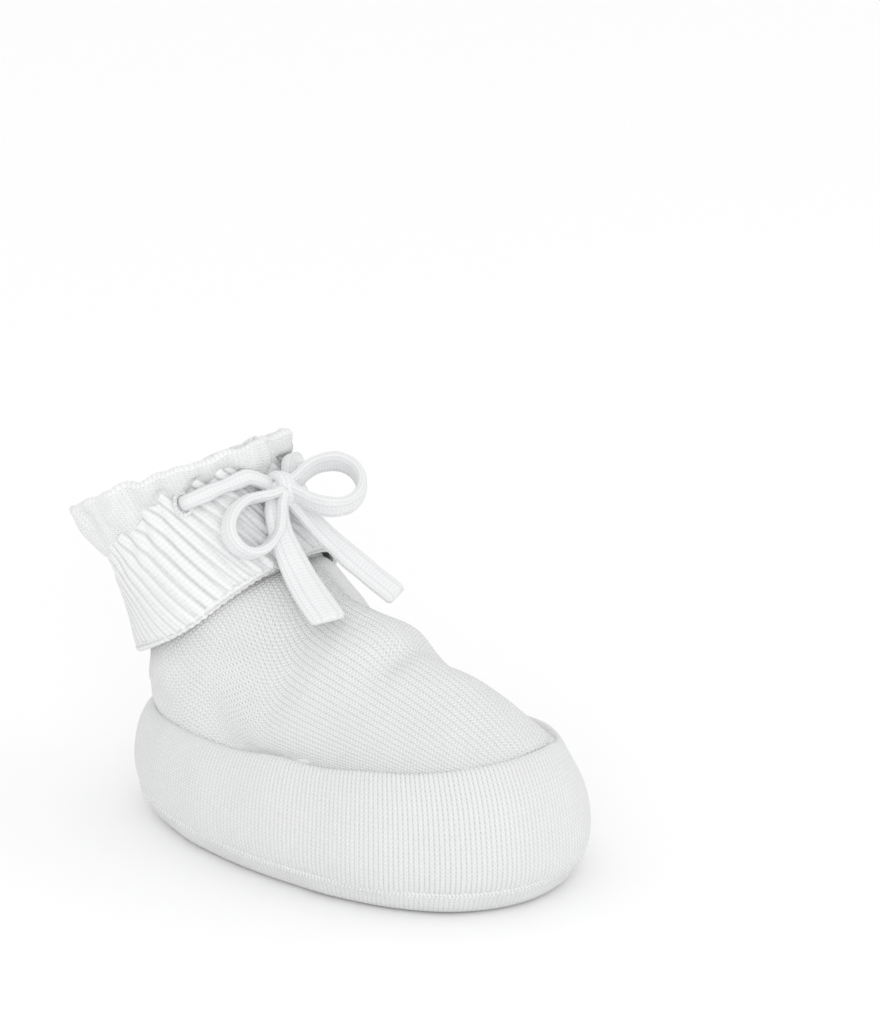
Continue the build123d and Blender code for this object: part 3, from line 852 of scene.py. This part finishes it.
def make_knot_core(material):
    """The crossing inside the knot's wrap."""
    polar = np.linspace(0.02, math.pi - 0.02, CORE_ROWS)[:, None]
    turn = np.arange(CORE_COLUMNS)[None, :] * TURN / CORE_COLUMNS
    x, y, z = np.sin(polar) * np.sin(turn), -np.sin(polar) * np.cos(turn), -np.cos(polar)
    ball = np.stack(np.broadcast_arrays(x, y, z), -1) * np.array(CORE_RADII)
    uneven = wrinkles(ball, height=0.06, wavelength=2.5, seed=71)
    ball = ball * (1 + uneven)[..., None] + np.array(KNOT_CENTRE)
    stitches = round_stitches(CORE_ROWS, CORE_COLUMNS, CORE_WALES, np.linspace(0, CORE_COURSES, CORE_ROWS))
    core = grid_object("bow_knot_core", ball, stitches, material)
    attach(core, "ankle_cuff")


def make_drawstring(material):
    """The flat cord from the knot, in at one eyelet, round inside the casing and out at the other."""
    knot_gap = math.radians(5.0)
    angle = np.linspace(knot_gap, TURN - knot_gap, STRING_POINTS)
    from_front = np.minimum(angle, TURN - angle)
    outside = fade(from_front, EYELET_ANGLE - 0.09, EYELET_ANGLE + 0.07)
    radius = STRING_RADIUS + outside * STRING_OUT + fade(from_front, 0.0, 0.55) * KNOT_OUT
    line = from_ankle(radius, angle, STRING_HEIGHT + side_rise(from_front))
    axis = (0.0, math.sin(LEAN), math.cos(LEAN))
    string = close_ends(flat_cord("drawstring_cord", line, axis, STRING_WIDTH, material))
    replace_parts(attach(string, "ankle_cuff"), "drawstring")


# ---- materials -------------------------------------------------------------------------------------

# Each shade below is painted shade, mixed into the grooves between threads and fibres.
WHITE, SHADE = (0.86, 0.863, 0.866), (0.72, 0.723, 0.728)
# The upper, band and cord whites are the one white yarn made darker: painted shade on those parts.
UPPER_SHADED_WHITE, UPPER_SHADE = (0.82, 0.823, 0.826), (0.60, 0.603, 0.608)
BAND_SHADED_WHITE, BAND_SHADE = (0.785, 0.788, 0.791), (0.62, 0.623, 0.628)
LINING_WHITE, LINING_SHADE = (0.84, 0.84, 0.84), (0.60, 0.60, 0.60)
CORD_SHADED_WHITE, CORD_SHADE = (0.81, 0.815, 0.82), (0.68, 0.685, 0.69)
FIBRE_WHITE, FIBRE_SHADE = (0.85, 0.85, 0.84), (0.62, 0.62, 0.61)
RIB_SHADE = (0.64, 0.643, 0.648)
THREAD_SHADE = (0.60, 0.60, 0.61)
FUZZ_SCALE, PATCH_SCALE, FIBRE_SCALE = 2600.0, 90.0, 700.0


def calc(tree, operation, *values):
    """One step of arithmetic in a material."""
    node = tree.nodes.new("ShaderNodeMath")
    node.operation = operation
    for socket, value in zip(node.inputs, values):
        if isinstance(value, (int, float)):
            socket.default_value = value
        else:
            tree.links.new(value, socket)
    return node.outputs[0]


def noise(tree, scale, detail):
    place = tree.nodes.new("ShaderNodeTexCoord")
    node = tree.nodes.new("ShaderNodeTexNoise")
    node.inputs["Scale"].default_value = scale
    node.inputs["Detail"].default_value = detail
    tree.links.new(place.outputs["Object"], node.inputs["Vector"])
    return node.outputs["Fac"]


def roughened(tree, level, scale, detail, amount):
    """A level that noise raises and lowers."""
    centred = calc(tree, "SUBTRACT", noise(tree, scale, detail), 0.5)
    return calc(tree, "MULTIPLY_ADD", centred, amount, level)


def stitch_height(tree, slope, row_depth, holes):
    """The height of a knitted face: columns of V stitches, with a groove between columns."""
    where = tree.nodes.new("ShaderNodeUVMap")
    where.uv_map = "stitches"
    split = tree.nodes.new("ShaderNodeSeparateXYZ")
    tree.links.new(where.outputs["UV"], split.inputs[0])
    place = calc(tree, "MULTIPLY_ADD", calc(tree, "FRACT", split.outputs[0]), 2.0, -1.0)
    side = calc(tree, "ABSOLUTE", place)
    phase = calc(tree, "MULTIPLY_ADD", side, -slope, split.outputs[1])
    wave = calc(tree, "COSINE", calc(tree, "MULTIPLY", phase, TURN))
    middle = calc(tree, "POWER", calc(tree, "SUBTRACT", 1.0, side), 4.0)
    hollow = calc(tree, "MULTIPLY_ADD", middle, 0.35, calc(tree, "POWER", side, 3.0))
    hole = calc(tree, "MULTIPLY_ADD", wave, -holes, 1 - holes)
    column = calc(tree, "SUBTRACT", 1.0, calc(tree, "MULTIPLY", hollow, hole))
    row = calc(tree, "MULTIPLY_ADD", wave, row_depth / 2, 1 - row_depth / 2)
    return calc(tree, "MULTIPLY", column, row)


def fabric(name, height, light, dark, depth):
    """A cotton material whose colour darkens between its threads, as painted shade. Height makes the
    threads' height.
    """
    material = bpy.data.materials.new(name)
    material.use_nodes = True
    tree = material.node_tree
    shader = tree.nodes["Principled BSDF"]
    shader.inputs["Roughness"].default_value = 0.92
    shader.inputs["Specular IOR Level"].default_value = 0.25
    shader.inputs["Sheen Weight"].default_value = 0.25
    shader.inputs["Sheen Roughness"].default_value = 0.5
    level = roughened(tree, height(tree), FUZZ_SCALE, detail=2.0, amount=0.35)
    toned = roughened(tree, level, PATCH_SCALE, detail=3.0, amount=0.25)
    shade = tree.nodes.new("ShaderNodeMix")
    shade.data_type = "RGBA"
    # The dark colour is painted shade, where the threads lie low.
    shade.inputs["A"].default_value = (*dark, 1.0)
    shade.inputs["B"].default_value = (*light, 1.0)
    tree.links.new(calc(tree, "MAXIMUM", calc(tree, "MINIMUM", toned, 1.0), 0.0), shade.inputs["Factor"])
    tree.links.new(shade.outputs["Result"], shader.inputs["Base Color"])
    bump = tree.nodes.new("ShaderNodeBump")
    bump.inputs["Strength"].default_value = 1.0
    bump.inputs["Distance"].default_value = depth * MM
    tree.links.new(level, bump.inputs["Height"])
    tree.links.new(bump.outputs["Normal"], shader.inputs["Normal"])
    return material


def knit(name, light, dark, depth, slope=0.55, row_depth=0.65, holes=0.35):
    return fabric(name, lambda tree: stitch_height(tree, slope, row_depth, holes), light, dark, depth)


def wadding(name):
    """Loose fibres."""
    return fabric(name, lambda tree: noise(tree, FIBRE_SCALE, 6.0), FIBRE_WHITE, FIBRE_SHADE, depth=0.5)


# ---- the studio ------------------------------------------------------------------------------------

CAMERA_DISTANCE = 1.1
CAMERA_BACK = Vector((-0.710, -0.596, 0.375))
CAMERA_RIGHT = Vector((0.643, -0.766, 0.0))
CAMERA_UP = Vector((0.287, 0.241, 0.927))
AIM_RIGHT, AIM_UP = 0.01839, 0.06864
LENS, SENSOR = 185.6, 36.0
LIGHT_TARGET = Vector((0.0, 0.0, 0.04))
FLOOR_HALF = 3.0


def look_at(obj, target):
    obj.rotation_euler = (target - obj.location).to_track_quat("-Z", "Y").to_euler()


def make_camera():
    data = bpy.data.cameras.new("camera")
    data.lens = LENS
    data.sensor_width = SENSOR
    data.clip_start = 0.05
    camera = bpy.data.objects.new("camera", data)
    bpy.context.collection.objects.link(camera)
    camera.location = CAMERA_BACK * CAMERA_DISTANCE
    look_at(camera, CAMERA_RIGHT * AIM_RIGHT + CAMERA_UP * AIM_UP)
    bpy.context.scene.camera = camera


def make_light(name, place, size, watts):
    data = bpy.data.lights.new(name, "AREA")
    data.shape = "DISK"
    data.size = size
    data.energy = watts
    light = bpy.data.objects.new(name, data)
    bpy.context.collection.objects.link(light)
    light.location = place
    look_at(light, LIGHT_TARGET)


def make_world():
    world = bpy.data.worlds.new("studio")
    world.use_nodes = True
    background = world.node_tree.nodes["Background"]
    background.inputs["Color"].default_value = (1.0, 1.0, 1.0, 1.0)
    background.inputs["Strength"].default_value = 1.01
    bpy.context.scene.world = world


def make_floor():
    corners = [(x * FLOOR_HALF, y * FLOOR_HALF, 0) for x, y in ((-1, -1), (1, -1), (1, 1), (-1, 1))]
    mesh = bpy.data.meshes.new("floor")
    mesh.from_pydata(corners, [], [(0, 1, 2, 3)])
    floor = bpy.data.objects.new("floor", mesh)
    bpy.context.collection.objects.link(floor)
    paint = bpy.data.materials.new("studio_floor")
    paint.use_nodes = True
    shader = paint.node_tree.nodes["Principled BSDF"]
    shader.inputs["Base Color"].default_value = (0.96, 0.96, 0.96, 1.0)
    shader.inputs["Roughness"].default_value = 0.9
    mesh.materials.append(paint)


def make_studio():
    bpy.context.scene.view_settings.view_transform = "Standard"
    make_world()
    make_floor()
    make_light("front", (-0.8, -0.75, 0.35), size=0.7, watts=2.6)
    make_light("toe_side", (0.5, -1.3, 0.25), size=0.8, watts=0.9)


# ---- the whole -------------------------------------------------------------------------------------

def make_foot(band_shaded_white, upper_shaded_white, lining_white, fibres, thread):
    make_sole_panel(band_shaded_white)
    make_side_band(band_shaded_white)
    padding = make_band_layer(
        "band_padding", "band_wadding", WADDING_DEPTH, WADDING_THICKNESS, fibres,
    )
    make_band_layer(
        "band_lining_knit", "band_lining", LINING_DEPTH, LINING_THICKNESS, lining_white,
    )
    make_insole(fibres, lining_white)
    make_foot_seams(thread)
    make_upper(upper_shaded_white)


def make_bootie():
    knit_white = knit("white_knit", WHITE, SHADE, depth=0.16)
    # The upper, band and cord materials get the darker whites: painted shade.
    upper_shaded_white = knit("upper_knit", UPPER_SHADED_WHITE, UPPER_SHADE, depth=0.22, row_depth=0.5)
    band_shaded_white = knit("side_knit", BAND_SHADED_WHITE, BAND_SHADE, depth=0.18, row_depth=0.4, holes=0.2)
    lining_white = knit("lining_knit", LINING_WHITE, LINING_SHADE, depth=0.12, slope=0.3)
    rib_white = knit("rib_stitches", WHITE, RIB_SHADE, depth=0.2, slope=0.2, row_depth=0.16, holes=0.05)
    thread = knit("seam_thread", WHITE, THREAD_SHADE, depth=0.10)
    cord_shaded_white = knit("cord_stitches", CORD_SHADED_WHITE, CORD_SHADE, depth=0.10, row_depth=0.4, holes=0.1)
    fibres = wadding("wadding_fibres")

    make_bow(cord_shaded_white)
    make_knot_wrap(cord_shaded_white)
    make_knot_core(cord_shaded_white)
    make_drawstring(cord_shaded_white)
    make_foot(band_shaded_white, upper_shaded_white, lining_white, fibres, thread)
    make_inner_leg(knit_white)
    make_cuff(rib_white)
    make_cuff_hem(rib_white)
    make_frill(knit_white)
    make_eyelets(thread)


make_camera()
make_studio()
make_bootie()
